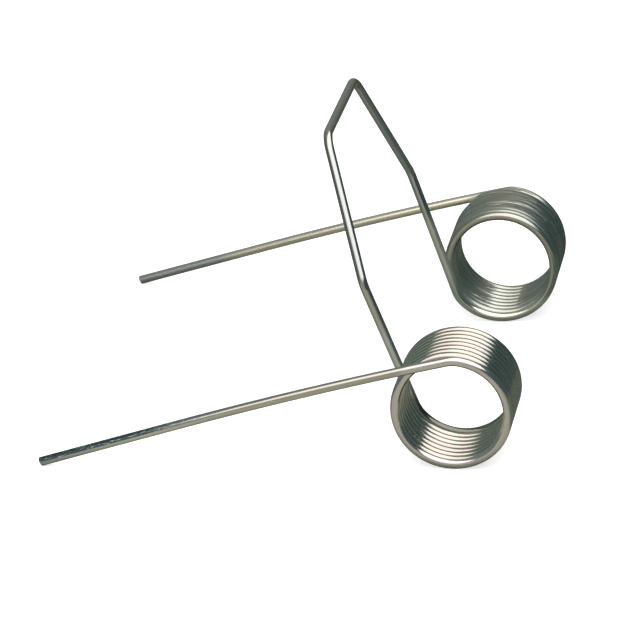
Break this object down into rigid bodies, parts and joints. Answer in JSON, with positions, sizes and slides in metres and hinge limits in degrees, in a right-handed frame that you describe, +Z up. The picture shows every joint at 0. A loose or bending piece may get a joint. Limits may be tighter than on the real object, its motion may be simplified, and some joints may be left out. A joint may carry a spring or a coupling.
{
  "type": "double torsion spring",
  "caption": "Double torsion spring of round steel wire: two mirrored close-wound coils with long legs, joined by a raised angular loop",
  "frame": {"origin": "on the common axis of both coils, in the mid plane between them", "axes": "+Y along the coils' axis from the front coil to the back coil, +Z up with the spring resting on its coils and leg tips, -X towards the leg tips"},
  "size_m": [0.1542, 0.1632, 0.0968],
  "materials": {
    "spring_wire": "bright drawn spring steel wire, glossy, with fine drawing lines along its length and ends sheared a little off square"
  },
  "bodies": {
    "root": {"torsion_spring": "spring_wire"}
  },
  "joints": []
}
